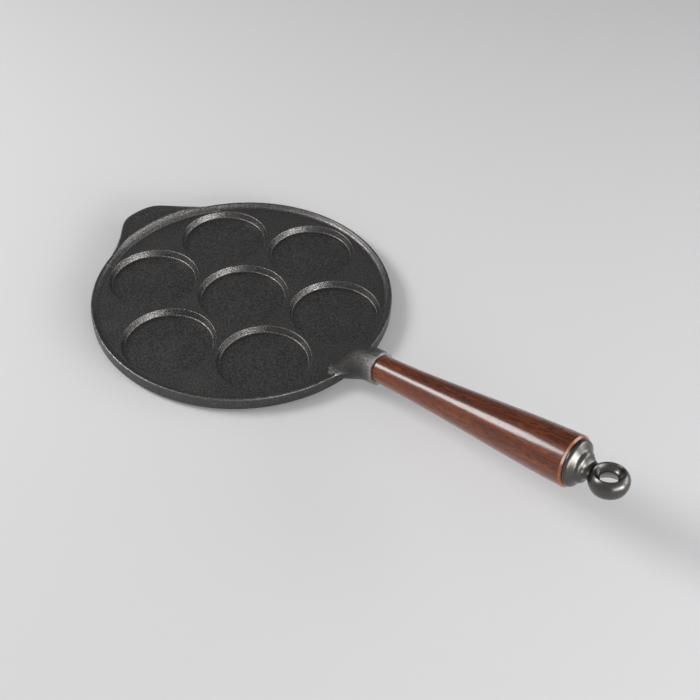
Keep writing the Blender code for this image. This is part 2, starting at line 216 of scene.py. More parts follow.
landHeight = plate["landHeight"]
crestHeight = landHeight + plate["rimRise"]
overrun = 0.002  # how far a cutting tool reaches past the piece that it cuts
plateRadius = cadHigh.y  # the plate is the widest piece


def rimBase():  # where the rim's inner fillet runs out on the land
    lean = math.radians(plate["rimLean"])
    rounds = plate["rimInnerRound"] + plate["rimFillet"]
    straight = (plate["rimRise"] - rounds * (1 - math.cos(lean))) / math.tan(lean)
    return plateRadius - plate["rimOuterRound"] - plate["rimCrest"] - rounds * math.sin(lean) - straight


def wellRadius():
    return (rimBase() - wells["landOutside"] - wells["landBetween"]) / 3


def wellCentres():
    pitch = 2 * wellRadius() + wells["landBetween"]
    centres = [(0.0, 0.0)]
    for i in range(wells["roundMiddle"]):
        angle = 2 * math.pi * (i + 0.5) / wells["roundMiddle"]
        centres.append((pitch * math.cos(angle), pitch * math.sin(angle)))
    return centres


def plateProfile():
    lean, fillet = plate["rimLean"], plate["rimFillet"]
    inner, outer = plate["rimInnerRound"], plate["rimOuterRound"]
    crest = plateRadius - outer - plate["rimCrest"]
    points = arcPoints(rimBase(), landHeight + fillet, fillet, -90, -90 + lean, plate["filletPieces"])
    points += arcPoints(crest, crestHeight - inner, inner, 90 + lean, 90, plate["crestPieces"])
    points += arcPoints(plateRadius - outer, crestHeight - outer, outer, 90, 0, plate["filletPieces"])
    for i in range(1, plate["footPieces"] + 1):  # the curved edge of the underside
        angle = math.radians(90 * i / plate["footPieces"])
        radius = plateRadius - plate["footInset"] * (1 - math.cos(angle))
        points.append((radius, plate["footCurve"] * (1 - math.sin(angle))))
    return points


def wellTool(centre):
    radius, pieces = wellRadius(), wells["roundPieces"]
    lean = math.radians(wells["wallLean"])
    lip, fillet = wells["lipRound"], wells["floorFillet"]
    floor = landHeight - wells["depth"]
    wallTop = radius - lip * math.cos(lean)
    wallDrop = wells["depth"] - (lip + fillet) * (1 - math.sin(lean))
    filletMiddle = wallTop - wallDrop * math.tan(lean) - fillet * math.cos(lean)
    profile = [(radius, crestHeight + overrun)]
    profile += arcPoints(radius, landHeight - lip, lip, 90, 180 - wells["wallLean"], pieces)
    profile += arcPoints(filletMiddle, floor + fillet, fillet, -wells["wallLean"], -90, pieces)
    tool = turnProfile("well", profile, wells["steps"])
    tool.location = (*centre, 0.0)
    tool.rotation_euler.z = math.pi / wells["steps"]  # turned by half a step
    return tool


# The neck and its socket

neck = {
    "length": 0.0292,
    "rise": 0.0208,
    "angle": 11.75,
    "halfSpread": 0.017,
    "ramp": 0.016,  # how far in on the land the top line starts
    "topSink": 0.0003,  # how deep the start lies under the land
    "sink": 0.0009,  # and how deep inside the plate's wall
    "sideRise": 0.0016,
    "footDrop": 0.0054,
    "coreDepth": 0.0035,  # the point inside the plate that the neck's hidden end draws in to
    "coreInset": 0.0090,
    "coreShare": 0.35,
    "topPull": 0.60,  # the pulls are shares of a line's reach
    "topEndPull": 1.35,
    "sidePull": 0.60,
    "footNarrowing": 0.20,
    "steps": 72,
    "stations": 36,
}

socket = {
    "radius": 0.0121,
    "length": 0.0080,
    "edgeRound": 0.0005,
    "edgePieces": 4,
    "depth": 0.0060,
    "wall": 0.0018,
    "rodHoleRadius": 0.0043,
    "rodHoleDepth": 0.0120,
}

handleAngle = math.radians(neck["angle"])
alongHandle = Vector((math.cos(handleAngle), 0.0, math.sin(handleAngle)))
upFromHandle = Vector((-math.sin(handleAngle), 0.0, math.cos(handleAngle)))
socketFace = Vector((plateRadius + neck["length"], 0.0, landHeight + neck["rise"]))
handlePlace = Matrix.Translation(socketFace) @ Matrix.Rotation(math.pi / 2 - handleAngle, 4, "Y")


def topHeight(radius):  # height of the plate's upper side at a distance from its middle
    profile = [(0.0, landHeight)] + plateProfile()
    for (near, low), (far, high) in zip(profile, profile[1:]):
        if near <= radius <= far:
            return mix(low, high, (radius - near) / (far - near))
    return crestHeight


def neckLine(angle):  # one line of the neck from the plate to the socket, with the pull at each end
    side, lift = math.cos(angle), math.sin(angle)
    wall = plateRadius - neck["sink"]
    startY = neck["halfSpread"] * side * (1 + neck["footNarrowing"] * min(lift, 0.0))
    startX = math.sqrt(wall * wall - startY * startY) - neck["ramp"] * max(lift, 0.0)
    sideHeight = landHeight + neck["sideRise"]
    startShare = endShare = neck["sidePull"]
    if lift > 0:
        startZ = min(topHeight(math.hypot(startX, startY)) - neck["topSink"], sideHeight)
        startShare = mix(neck["sidePull"], neck["topPull"], lift)
        endShare = mix(neck["sidePull"], neck["topEndPull"], lift)
    else:
        startZ = sideHeight + (neck["sideRise"] + neck["footDrop"]) * lift
    start = Vector((startX, startY, startZ))
    roundRim = Vector((abs(startY), -startX * math.copysign(1.0, startY), 0.0)).normalized()
    startPull = Vector((1.0, 0.0, 0.0)).lerp(roundRim, side * side).normalized()
    end = socketFace - alongHandle * socket["length"]
    end += socket["radius"] * (Vector((0.0, side, 0.0)) + lift * upFromHandle)
    reach = (end - start).length
    return start, startPull * reach * startShare, end, alongHandle * reach * endShare


def pointOnLine(line, t):
    start, startPull, end, endPull = line
    near = start * (2 * t**3 - 3 * t**2 + 1) + startPull * (t**3 - 2 * t**2 + t)
    return near + end * (3 * t**2 - 2 * t**3) + endPull * (t**3 - t**2)


def neckTool():
    lines = [neckLine(2 * math.pi * i / neck["steps"]) for i in range(neck["steps"])]
    core = Vector((plateRadius - neck["coreInset"], 0.0, landHeight - neck["coreDepth"]))
    rings = [[line[0].lerp(core, neck["coreShare"]) for line in lines]]
    for k in range(neck["stations"] + 1):
        rings.append([pointOnLine(line, k / neck["stations"]) for line in lines])
    edge = socket["edgeRound"]
    for inward, back in arcPoints(edge, edge, edge, 180, 270, socket["edgePieces"]):  # the rounded end edge
        ring = []
        for i in range(neck["steps"]):
            angle = 2 * math.pi * i / neck["steps"]
            outward = Vector((0.0, math.cos(angle), 0.0)) + math.sin(angle) * upFromHandle
            ring.append(socketFace - alongHandle * back + outward * (socket["radius"] - inward))
        rings.append(ring)
    return skinRings("neck", rings)


def socketTool():
    bore, deep = socket["radius"] - socket["wall"], -socket["depth"] - socket["rodHoleDepth"]
    profile = [(bore, overrun), (bore, -socket["depth"])]
    profile += [(socket["rodHoleRadius"], -socket["depth"]), (socket["rodHoleRadius"], deep)]
    tool = turnProfile("socket", profile, neck["steps"])
    tool.matrix_world = handlePlace
    return tool


# The helper grip opposite the handle

tab = {  # the angles are in degrees round the plate's middle
    "length": 0.02016,
    "turn": -1.5,
    "flankAngle": 12.3,  # where the grip stands out about half its length
    "flankPower": 3.4,
    "crestRise": 0.0024,  # how far the rim swells up at the grip
    "crestHalfAngle": 30.0,
    "crestPlateau": 12.0,
    "dish": 0.0012,
    "tipRise": 0.0060,
    "tipThickness": 0.0044,
    "rootThickness": 0.0085,
    "sections": 121,
    "slopePoints": 6,
    "slopePower": 1.5,
    "topPoints": 10,
    "topPower": 1.4,
    "topEasing": 0.4,
    "nosePieces": 12,
    "underPoints": 6,
    "underPower": 1.5,
}


def tabReach(angle):  # share of the tab's length at an angle from its middle
    def bell(a):
        return 1 / (1 + (abs(a) / tab["flankAngle"]) ** tab["flankPower"])
    end = bell(tab["crestHalfAngle"])
    return (bell(angle) - end) / (1 - end)


def tabSection(angle):
    reach = tabReach(angle)
    swell = easeInOut((tab["crestHalfAngle"] - abs(angle)) / (tab["crestHalfAngle"] - tab["crestPlateau"]))
    sink = neck["sink"]
    wall = plateRadius - sink
    crestZ = crestHeight - sink + (tab["crestRise"] + sink) * swell
    crestR = plateRadius - plate["rimOuterRound"] - plate["rimCrest"]
    crestR += (crestZ - crestHeight) / math.tan(math.radians(plate["rimLean"]))
    tip = wall + (tab["length"] + sink) * reach
    tipZ = mix(crestZ, landHeight + tab["tipRise"], reach)
    rootZ = crestZ - tab["dish"]
    nose = sink / 2 + (tab["tipThickness"] - sink) / 2 * math.sqrt(reach)
    footZ = crestHeight - tab["rootThickness"]
    innerR = rimBase()
    crestRound = plate["rimInnerRound"]
    slope = math.radians(plate["rimLean"])
    points = [(innerR, landHeight - sink)]
    flank = (crestR - crestRound * math.sin(slope), crestZ - crestRound * (1 - math.cos(slope)))
    for k in range(1, tab["slopePoints"]):  # the inner slope, hollow at its foot
        share = k / tab["slopePoints"]
        slopeZ = mix(landHeight, flank[1], share ** tab["slopePower"])
        points.append((mix(innerR, flank[0], share), slopeZ))
    points += arcPoints(crestR, crestZ - crestRound, crestRound, 90 + plate["rimLean"], 90,
                        plate["crestPieces"])
    count = tab["topPoints"]
    for k in range(1, count):
        share = mix(k / count, easeInOut(k / count), tab["topEasing"])
        points.append((mix(crestR, tip - nose, share), mix(rootZ, tipZ, share ** tab["topPower"])))
    points += arcPoints(tip - nose, tipZ - nose, nose, 90, -90, tab["nosePieces"])
    for k in range(tab["underPoints"] - 1, 0, -1):
        share = k / tab["underPoints"]
        underZ = mix(footZ, tipZ - 2 * nose, share ** tab["underPower"])
        points.append((mix(wall, tip - nose, share), underZ))
    return points + [(wall, footZ), (innerR, footZ)]


def tabTool():
    rings = []
    for i in range(tab["sections"]):
        angle = tab["crestHalfAngle"] * (2 * i / (tab["sections"] - 1) - 1)
        around = math.radians(180 + tab["turn"] + angle)
        rings.append([(r * math.cos(around), r * math.sin(around), z) for r, z in tabSection(angle)])
    return skinRings("tab", rings)


pan = turnProfile("pan_casting_fine", plateProfile(), plate["steps"])
combine(pan, [neckTool(), tabTool()], "UNION")
combine(pan, [wellTool(centre) for centre in wellCentres()] + [socketTool()], "DIFFERENCE")
removeSlivers(pan)
keepOwnPlace(pan, handlePlace)
shadeRound(pan, plate["sharpAngle"])
markEdges(pan, plate)
print("pan casting made,", len(pan.data.polygons), "faces")


# The turned wooden grip

grip = {
    "length": 0.1591,
    "startRadius": 0.0100,
    "endRadius": 0.01698,
    "swell": (0.0, 0.04, 0.86, 1.0),  # shares of the way from the start radius to the end radius
    "chamfer": 0.0014,
    "faceInset": 1.25,  # this and the next three are shares of the chamfer
    "faceRoundInset": 1.2,
    "faceRound": 0.25,
    "sideRound": 0.35,
    "chamferAngles": (50, 40),  # where the face's round ends and the side's round starts
    "roundPieces": 3,
    "bore": 0.0043,
    "spigotGap": 0.0003,
    "points": 56,
    "steps": 128,
    "sharpAngle": 35,
    "wearFrom": 200.0,
    "wearFull": 900.0,
}


def gripRadius(share):
    a, b, c, d = (mix(grip["startRadius"], grip["endRadius"], s) for s in grip["swell"])
    t, u = share, 1 - share
    return a * u**3 + 3 * b * u * u * t + 3 * c * u * t * t + d * t**3


def makeGrip():
    length, chamfer, pieces = grip["length"], grip["chamfer"], grip["roundPieces"]
    spigotEnd = grip["spigotGap"] - socket["depth"]
    end = grip["endRadius"]
    faceRound, sideRound = chamfer * grip["faceRound"], chamfer * grip["sideRound"]
    faceEnd, sideStart = grip["chamferAngles"]
    profile = [(grip["bore"], length), (end - chamfer * grip["faceInset"], length)]
    faceMiddle = end - chamfer * grip["faceRoundInset"]
    profile += arcPoints(faceMiddle, length - faceRound, faceRound, 90, faceEnd, pieces)
    profile += arcPoints(end - sideRound, length - chamfer, sideRound, sideStart, 0, pieces)
    for i in range(1, grip["points"]):
        share = 1 - i / (grip["points"] - 1)
        profile.append((gripRadius(share), (length - chamfer) * share))
    profile += [(grip["startRadius"], spigotEnd), (grip["bore"], spigotEnd)]
    body = turnProfile("wood_grip_fine", profile, grip["steps"], capped=False)
    body.data.transform(handlePlace)
    return body


wood = makeGrip()
keepOwnPlace(wood, handlePlace)
shadeRound(wood, grip["sharpAngle"])
markEdges(wood, grip)
print("wooden grip made,", len(wood.data.polygons), "faces")


# The end cap and its hanging eye

cap = {
    "gap": 0.0003,
    "length": 0.0100,
    "mouldings": (  # radius and height of the bell's turned outline, in millimetres
        (15.10, 0.00), (15.38, 0.20), (15.40, 0.90), (15.15, 1.60), (14.60, 2.35), (13.80, 2.95),
        (12.95, 3.45), (12.10, 3.98), (11.30, 4.50), (10.75, 4.92), (10.40, 5.45), (10.10, 6.10),
        (9.60, 6.85), (8.80, 7.55), (8.15, 8.15), (7.80, 8.80), (7.50, 9.45), (7.10, 10.50)),
    "piecesBetween": 4,
    "dropStart": 0.0030,  # the bell sinks between these two heights
    "dropEnd": 0.0070,
    "flatStart": 0.0070,  # and flattens from this one to its end
    "waistHalfWidth": 0.0071,
    "waistHalfHeight": 0.0043,
    "threadDepth": 0.0065,
    "threadSteps": 48,
    "steps": 128,
    "sharpAngle": 40,
    "wearFrom": 200.0,
    "wearFull": 1200.0,
}

eye = {  # heights are from the ball's middle, along its hole
    "radius": 0.0125,
    "crown": 0.0082,  # how high the flatter upper part would reach, if its top weren't cut off
    "underDepth": 0.0070,
    "crestHeight": 0.0050,
    "crestRound": 0.0007,
    "crestProud": 0.00005,  # how far the rounded crest stands off the crown
    "crestMargin": 1.5,
    "crestPieces": 8,
    "sinkAngle": 138.0,  # where the crest's round meets the countersink
    "drop": 0.0009,
    "twist": 5.0,
    "holeRadius": 0.0053,
    "landTop": 0.0007,  # the straight part of the hole
    "landFoot": -0.0004,
    "underHole": 0.0099,  # the hole's radius at the underside
    "dishing": 0.0008,  # how hollow the countersink is
    "sinkPieces": 10,
    "overlap": 0.0030,
    "ballPieces": 60,
    "steps": 128,
}


def smoothLine(a, b, c, d, t):  # between b and c, with a and d as the neighbours that bend it
    return b + t * ((c - a) / 2 + t * (a - 2.5 * b + 2 * c - d / 2 + t * (1.5 * (b - c) + (d - a) / 2)))


def bellProfile():
    corners = [(r / 1000, z / 1000) for r, z in reversed(cap["mouldings"])]
    points = [(cap["waistHalfWidth"], cap["length"] + eye["overlap"])]
    for k in range(len(corners) - 1):  # a smooth line through the turned outline
        before, near = corners[max(k - 1, 0)], corners[k]
        far, after = corners[k + 1], corners[min(k + 2, len(corners) - 1)]
        for piece in range(cap["piecesBetween"]):
            t = piece / cap["piecesBetween"]
            points.append(tuple(smoothLine(before[i], near[i], far[i], after[i], t) for i in range(2)))
    return points + [corners[-1]]


def eyeProfile():
    points = []
    top = eye["crestHeight"] + eye["crestRound"] * eye["crestMargin"]
    for i in range(eye["ballPieces"] + 1):  # a ball, flatter above its middle, that is cut off below
        z = mix(top, -eye["underDepth"], i / eye["ballPieces"])
        half = eye["crown"] if z > 0 else eye["radius"]
        points.append((eye["radius"] * math.sqrt(1 - (z / half) ** 2), z))
    return points


def eyeHoleProfile():
    high, proud = eye["crestHeight"], eye["crestProud"]
    side = eye["radius"] * math.sqrt(1 - (high / eye["crown"]) ** 2)
    slope = math.atan2(high / eye["crown"] ** 2, side / eye["radius"] ** 2)  # how the crown faces there
    inward = eye["crestRound"] - proud
    outR, outZ = side + proud + overrun * math.sin(slope), high + proud - overrun * math.cos(slope)
    points = [(outR, high + overrun), (outR, outZ)]
    points += arcPoints(side - inward * math.cos(slope), high - inward * math.sin(slope), eye["crestRound"],
                        math.degrees(slope), eye["sinkAngle"], eye["crestPieces"])
    hole, low = eye["holeRadius"], eye["landTop"]
    crest, high = points[-1]
    for i in range(1, eye["sinkPieces"] + 1):  # a slightly hollow countersink
        share = 1 - i / eye["sinkPieces"]
        hollow = eye["dishing"] * 4 * share * (1 - share)
        points.append((mix(hole, crest, share), mix(low, high, share) - hollow))
    points += [(hole, eye["landFoot"]), (eye["underHole"], -eye["underDepth"])]
    return points + [(eye["underHole"], -eye["underDepth"] - overrun)]


def makeCap():
    back = grip["length"] + cap["gap"]
    bell = turnProfile("eye_cap_fine", bellProfile(), cap["steps"])
    flat = 1 - cap["waistHalfHeight"] / cap["waistHalfWidth"]
    for vertex in bell.data.vertices:  # flattened and lowered towards the waist, to meet the eye
        drop = easeInOut((vertex.co.z - cap["dropStart"]) / (cap["dropEnd"] - cap["dropStart"]))
        share = easeInOut((vertex.co.z - cap["flatStart"]) / (cap["length"] - cap["flatStart"]))
        vertex.co.x = vertex.co.x * (1 - flat * share) + eye["drop"] * drop
    bell.data.transform(handlePlace @ Matrix.Translation((0.0, 0.0, back)))
    eyeSpot = Matrix.Translation((eye["drop"], 0.0, back + cap["length"] + eye["radius"]))
    eyeTurn = Matrix.Rotation(-math.radians(eye["twist"]), 4, "Z") @ Matrix.Rotation(-math.pi / 2, 4, "Y")
    ring = turnProfile("eye", eyeProfile(), eye["steps"])
    hole = turnProfile("hole", eyeHoleProfile(), eye["steps"])
    for tool in (ring, hole):
        tool.matrix_world = handlePlace @ eyeSpot @ eyeTurn
    threadLine = [(grip["bore"], cap["threadDepth"]), (grip["bore"], -overrun)]
    thread = turnProfile("thread", threadLine, cap["threadSteps"])
    thread.matrix_world = handlePlace @ Matrix.Translation((0.0, 0.0, back))
    combine(bell, [ring], "UNION")
    combine(bell, [hole, thread], "DIFFERENCE")
    return bell


endCap = makeCap()
removeSlivers(endCap)
shadeRound(endCap, cap["sharpAngle"])
markEdges(endCap, cap)
print("end cap made,", len(endCap.data.polygons), "faces")


# Shader tools and the shared effects

def addNode(tree, kind, values=None, **settings):  # values by socket name or number, sockets become links
    node = tree.nodes.new("ShaderNode" + kind)
    for key, value in settings.items():
        setattr(node, key, value)
    for key, value in (values or {}).items():
        if isinstance(value, bpy.types.NodeSocket):
            tree.links.new(value, node.inputs[key])
        else:
            node.inputs[key].default_value = value
    return node


def maths(tree, operation, a, b=0.0, clamp=False):
    return addNode(tree, "Math", {0: a, 1: b}, operation=operation, use_clamp=clamp).outputs[0]


def remap(tree, value, low, high, lowGives=0.0, highGives=1.0):
    values = {"Value": value, "From Min": low, "From Max": high, "To Min": lowGives, "To Max": highGives}
    return addNode(tree, "MapRange", values).outputs[0]


def noise(tree, place, scale, detail, rough=0.5, bend=0.0):
    values = {"Vector": place, "Scale": scale, "Detail": detail, "Roughness": rough, "Distortion": bend}
    return addNode(tree, "TexNoise", values).outputs


def heightOf(tree, vector):  # the Z part of a vector
    return addNode(tree, "SeparateXYZ", {"Vector": vector}).outputs["Z"]


def drawOut(tree, place, share):  # makes a pattern long along the piece's own Z axis
    return addNode(tree, "Mapping", {"Vector": place, "Scale": (1.0, 1.0, share)}).outputs["Vector"]


def ramp(tree, value, stops):  # stops of (position, grey or colour)
    node = addNode(tree, "ValToRGB", {"Fac": value})
    while len(node.color_ramp.elements) < len(stops):
        node.color_ramp.elements.new(0.5)
    for element, (position, colour) in zip(node.color_ramp.elements, stops):
        element.position = position
        element.color = (colour, colour, colour, 1.0) if isinstance(colour, float) else (*colour, 1.0)
    return node.outputs["Color"]


def blendColours(tree, share, a, b):
    node = addNode(tree, "Mix", {"Factor": share}, data_type="RGBA")
    for key, value in (("A", a), ("B", b)):
        target = [s for s in node.inputs if s.name == key and s.type == "RGBA"][0]
        if isinstance(value, bpy.types.NodeSocket):
            tree.links.new(value, target)
        else:
            target.default_value = (*value, 1.0)
    return [s for s in node.outputs if s.type == "RGBA"][0]


def startGroup(name, inputs, outputs):
    group = bpy.data.node_groups.new(name, "ShaderNodeTree")
    for label, value in inputs.items():
        made = group.interface.new_socket(label, in_out="INPUT", socket_type="NodeSocketFloat")
        made.default_value = value
    for label in outputs:
        group.interface.new_socket(label, in_out="OUTPUT", socket_type="NodeSocketFloat")
    return group, group.nodes.new("NodeGroupInput").outputs, group.nodes.new("NodeGroupOutput").inputs


def useGroup(tree, group, values=None):
    node = tree.nodes.new("ShaderNodeGroup")
    node.node_tree = group
    for key, value in (values or {}).items():
        node.inputs[key].default_value = value
    return node.outputs


effects = {
    "roundGrains": 0.5,
    "pitSize": 0.35,  # pits for each grain
    "pitStops": ((0.30, 1.0), (0.42, 0.0)),
    "patchesPerMetre": 28.0,
    "wearEvenness": 0.35,
    "smearStops": ((0.35, 0.0), (0.70, 1.0)),
    "bandStretch": 0.07,  # the pattern's scale along the grip, as shares of that across it
    "fleckStretch": 0.18,
    "poreStretch": 0.09,
    "wandersPerMetre": 90.0,
    "wander": 0.010,
    "flecksPerMetre": 850.0,
    "poreStops": ((0.10, 1.0), (0.26, 0.0)),
    "broadPerMetre": 55.0,
}


def castGrainGroup():  # the sand-cast skin: fine grain, shallow pits and broad patches
    group, given, out = startGroup("cast grain", {"Grains per metre": 900.0, "Pitting": 0.5},
                                   ("Height", "Grain", "Patches"))
    place = addNode(group, "TexCoord").outputs["Object"]
    size = given["Grains per metre"]
    fine = noise(group, place, size, 3.0, rough=0.6)["Fac"]
    grains = addNode(group, "TexVoronoi", {"Vector": place, "Scale": size}, feature="SMOOTH_F1")
    grains = maths(group, "MULTIPLY", grains.outputs["Distance"], effects["roundGrains"])
    pitSize = maths(group, "MULTIPLY", size, effects["pitSize"])
    pits = ramp(group, noise(group, place, pitSize, 2.0)["Fac"], effects["pitStops"])
    pits = maths(group, "MULTIPLY", pits, given["Pitting"])
    height = maths(group, "SUBTRACT", maths(group, "ADD", fine, grains), pits)
    patches = noise(group, place, effects["patchesPerMetre"], 4.0, bend=0.4)["Fac"]
    group.links.new(height, out["Height"])
    group.links.new(fine, out["Grain"])
    group.links.new(patches, out["Patches"])
    return group


def edgeWearGroup():  # where hands and tools rub the raised edges, broken up by noise
    group, given, out = startGroup("edge wear", {"Amount": 1.0, "Break-up": 260.0}, ("Wear",))
    place = addNode(group, "TexCoord").outputs["Object"]
    edge = addNode(group, "Attribute", attribute_name="edge").outputs["Fac"]
    spots = noise(group, place, given["Break-up"], 3.0)["Fac"]
    spots = maths(group, "ADD", spots, effects["wearEvenness"])
    wear = maths(group, "MULTIPLY", maths(group, "MULTIPLY", edge, spots), given["Amount"], clamp=True)
    group.links.new(wear, out["Wear"])
    return group


def handMarksGroup():  # faint smears that change only the gloss
    group, given, out = startGroup("hand marks", {"Marks per metre": 60.0}, ("Smear",))
    place = addNode(group, "TexCoord").outputs["Object"]
    marks = noise(group, place, given["Marks per metre"], 5.0, rough=0.55, bend=1.2)["Fac"]
    group.links.new(ramp(group, marks, effects["smearStops"]), out["Smear"])
    return group


def woodFigureGroup():  # growth bands, flecks and pores, drawn out along the piece's own Z axis
    group, given, out = startGroup("wood figure", {"Bands per metre": 260.0, "Pores per metre": 1500.0},
                                   ("Bands", "Flecks", "Pores", "Broad"))
    place = addNode(group, "Attribute", attribute_name="own place").outputs["Vector"]
    stretched = drawOut(group, place, effects["bandStretch"])
    wander = noise(group, stretched, effects["wandersPerMetre"], 3.0)["Color"]
    bend = (effects["wander"], effects["wander"], 0.0)
    bent = addNode(group, "VectorMath", {0: wander, 1: bend}, operation="MULTIPLY").outputs[0]
    bent = addNode(group, "VectorMath", {0: stretched, 1: bent}, operation="ADD").outputs[0]
    bands = noise(group, bent, given["Bands per metre"], 4.0, rough=0.6)["Fac"]
    streaks = drawOut(group, place, effects["fleckStretch"])
    flecks = noise(group, streaks, effects["flecksPerMetre"], 3.0)["Fac"]
    broad = noise(group, stretched, effects["broadPerMetre"], 2.0)["Fac"]
    pores = {"Vector": drawOut(group, place, effects["poreStretch"]), "Scale": given["Pores per metre"]}
    pores = addNode(group, "TexVoronoi", pores).outputs["Distance"]
    group.links.new(bands, out["Bands"])
    group.links.new(flecks, out["Flecks"])
    group.links.new(ramp(group, pores, effects["poreStops"]), out["Pores"])
    group.links.new(broad, out["Broad"])
    return group


castGrain = castGrainGroup()
edgeWear = edgeWearGroup()
handMarks = handMarksGroup()
woodFigure = woodFigureGroup()
print("shared effects made")


# The finishes

def startMaterial(name):
    material = bpy.data.materials.new(name)
    material.use_nodes = True
    tree = material.node_tree
    return material, tree, tree.nodes["Principled BSDF"]


def addBump(tree, shader, height, distance, strength=1.0):
    bump = addNode(tree, "Bump", {"Height": height, "Distance": distance, "Strength": strength})
    tree.links.new(bump.outputs["Normal"], shader.inputs["Normal"])


ironLook = {
    "grainsPerMetre": 850.0,
    "pitting": 0.4,
    "grainDepth": 0.00021,
    "grainStops": ((0.35, 0.0), (0.68, 1.0)),
    "dark": (0.069, 0.0672, 0.0664),
    "light": (0.232, 0.2255, 0.221),
    "patch": (0.100, 0.090, 0.080),
    "patchShare": 0.35,
    "patchRange": (0.3, 0.7),
    # painted shade: the dark colour painted on faces that look sideways or down, and on the neck
    "outside": (0.050, 0.0485, 0.0475),
    "outsideShare": 0.70,
    "outsideFrom": 0.30,  # the Z part of the way a face looks
    "outsideFull": -0.10,
    "neckReach": 0.048,  # from the socket's face back to the plate
    # painted shade: how far the whole neck is painted towards the dark shade colour
    "neckShadeShare": 0.42,
    "neckGrain": 2.4,
    "worn": (0.600, 0.585, 0.570),
    "wear": 0.8,
    "wearBreakUp": 500.0,
    "wearGloss": 0.08,
    "bare": (0.340, 0.328, 0.310),
    "groundBand": 0.0015,  # the bare bright edge of the socket
    "groundStops": ((0.38, 0.15), (0.56, 1.0)),
    "marksPerMetre": 45.0,
    "smearGloss": 0.05,
    "roughLow": 0.32,
    "roughHigh": 0.43,
    "metal": 0.95,
}


def seasonedIron():
    material, tree, shader = startMaterial("seasoned cast iron")
    look = ironLook
    skin = useGroup(tree, castGrain, {"Grains per metre": look["grainsPerMetre"], "Pitting": look["pitting"]})
    wear = useGroup(tree, edgeWear, {"Amount": look["wear"], "Break-up": look["wearBreakUp"]})["Wear"]
    smear = useGroup(tree, handMarks, {"Marks per metre": look["marksPerMetre"]})["Smear"]
    facing = heightOf(tree, addNode(tree, "NewGeometry").outputs["Normal"])
    along = heightOf(tree, addNode(tree, "Attribute", attribute_name="own place").outputs["Vector"])
    neckPart = remap(tree, along, -look["neckReach"], -look["neckReach"] / 2)
    # painted shade: faces that look sideways or down are painted darker, and the neck is painted darker too
    outside = remap(tree, facing, look["outsideFrom"], look["outsideFull"], 0.0, look["outsideShare"])
    outside = maths(tree, "MAXIMUM", outside, maths(tree, "MULTIPLY", neckPart, look["neckShadeShare"]))
    ground = remap(tree, along, -look["groundBand"], -look["groundBand"] * 3 / 4)
    ground = maths(tree, "MULTIPLY", ground, ramp(tree, skin["Grain"], look["groundStops"]))
    grain = ramp(tree, skin["Grain"], look["grainStops"])
    patches = maths(tree, "MULTIPLY", skin["Patches"], look["patchShare"])
    colour = blendColours(tree, grain, look["dark"], look["light"])
    colour = blendColours(tree, patches, colour, look["patch"])
    colour = blendColours(tree, outside, colour, look["outside"])
    colour = blendColours(tree, wear, colour, look["worn"])
    colour = blendColours(tree, ground, colour, look["bare"])
    tree.links.new(colour, shader.inputs["Base Color"])
    rough = remap(tree, skin["Patches"], *look["patchRange"], look["roughLow"], look["roughHigh"])
    rough = maths(tree, "SUBTRACT", rough, maths(tree, "MULTIPLY", smear, look["smearGloss"]))
    rough = maths(tree, "SUBTRACT", rough, maths(tree, "MULTIPLY", wear, look["wearGloss"]))
    tree.links.new(rough, shader.inputs["Roughness"])
    relief = maths(tree, "ADD", maths(tree, "MULTIPLY", neckPart, look["neckGrain"]), 1.0)
    addBump(tree, shader, maths(tree, "MULTIPLY", skin["Height"], relief), look["grainDepth"])
    shader.inputs["Metallic"].default_value = look["metal"]
    return material


woodLook = {
    "bandsPerMetre": 300.0,
    "poresPerMetre": 1400.0,
    "deep": (0.035, 0.0045, 0.0010),
    "mid": (0.128, 0.0205, 0.0022),
    "bright": (0.255, 0.0580, 0.0058),
    "pore": (0.012, 0.0020, 0.0006),
    "bare": (0.620, 0.195, 0.045),
    "bandPlaces": (0.24, 0.50, 0.78),
    "fleckStops": ((0.46, 0.0), (0.60, 0.90)),
    "broadStops": ((0.35, 0.0), (0.70, 0.45)),
    "poreShare": 0.75,
    "wear": 1.3,
    "wearBreakUp": 300.0,
    "roughLow": 0.30,
    "roughHigh": 0.46,
    "bandRelief": 0.4,
    "poreDepth": 0.00004,
    "poreStrength": 0.6,
    "shine": 0.25,
    "varnish": 0.8,
    "varnishRough": 0.16,
}


def stainedWood():
    material, tree, shader = startMaterial("stained and varnished hardwood")
    look = woodLook
    figure = useGroup(tree, woodFigure, {"Bands per metre": look["bandsPerMetre"],
                                         "Pores per metre": look["poresPerMetre"]})
    wear = useGroup(tree, edgeWear, {"Amount": look["wear"], "Break-up": look["wearBreakUp"]})["Wear"]
    bandColours = zip(look["bandPlaces"], (look["deep"], look["mid"], look["bright"]))
    flecks = ramp(tree, figure["Flecks"], look["fleckStops"])
    broad = ramp(tree, figure["Broad"], look["broadStops"])
    pores = maths(tree, "MULTIPLY", figure["Pores"], look["poreShare"])
    colour = ramp(tree, figure["Bands"], list(bandColours))
    colour = blendColours(tree, flecks, colour, look["deep"])
    colour = blendColours(tree, broad, colour, look["bright"])
    colour = blendColours(tree, pores, colour, look["pore"])
    colour = blendColours(tree, wear, colour, look["bare"])
    tree.links.new(colour, shader.inputs["Base Color"])
    rough = remap(tree, figure["Flecks"], 0.0, 1.0, look["roughLow"], look["roughHigh"])
    tree.links.new(rough, shader.inputs["Roughness"])
    relief = maths(tree, "MULTIPLY", figure["Bands"], look["bandRelief"])
    relief = maths(tree, "SUBTRACT", relief, figure["Pores"])
    addBump(tree, shader, relief, look["poreDepth"], look["poreStrength"])
    shader.inputs["Specular IOR Level"].default_value = look["shine"]
    shader.inputs["Coat Weight"].default_value = look["varnish"]
    shader.inputs["Coat Roughness"].default_value = look["varnishRough"]
    return material


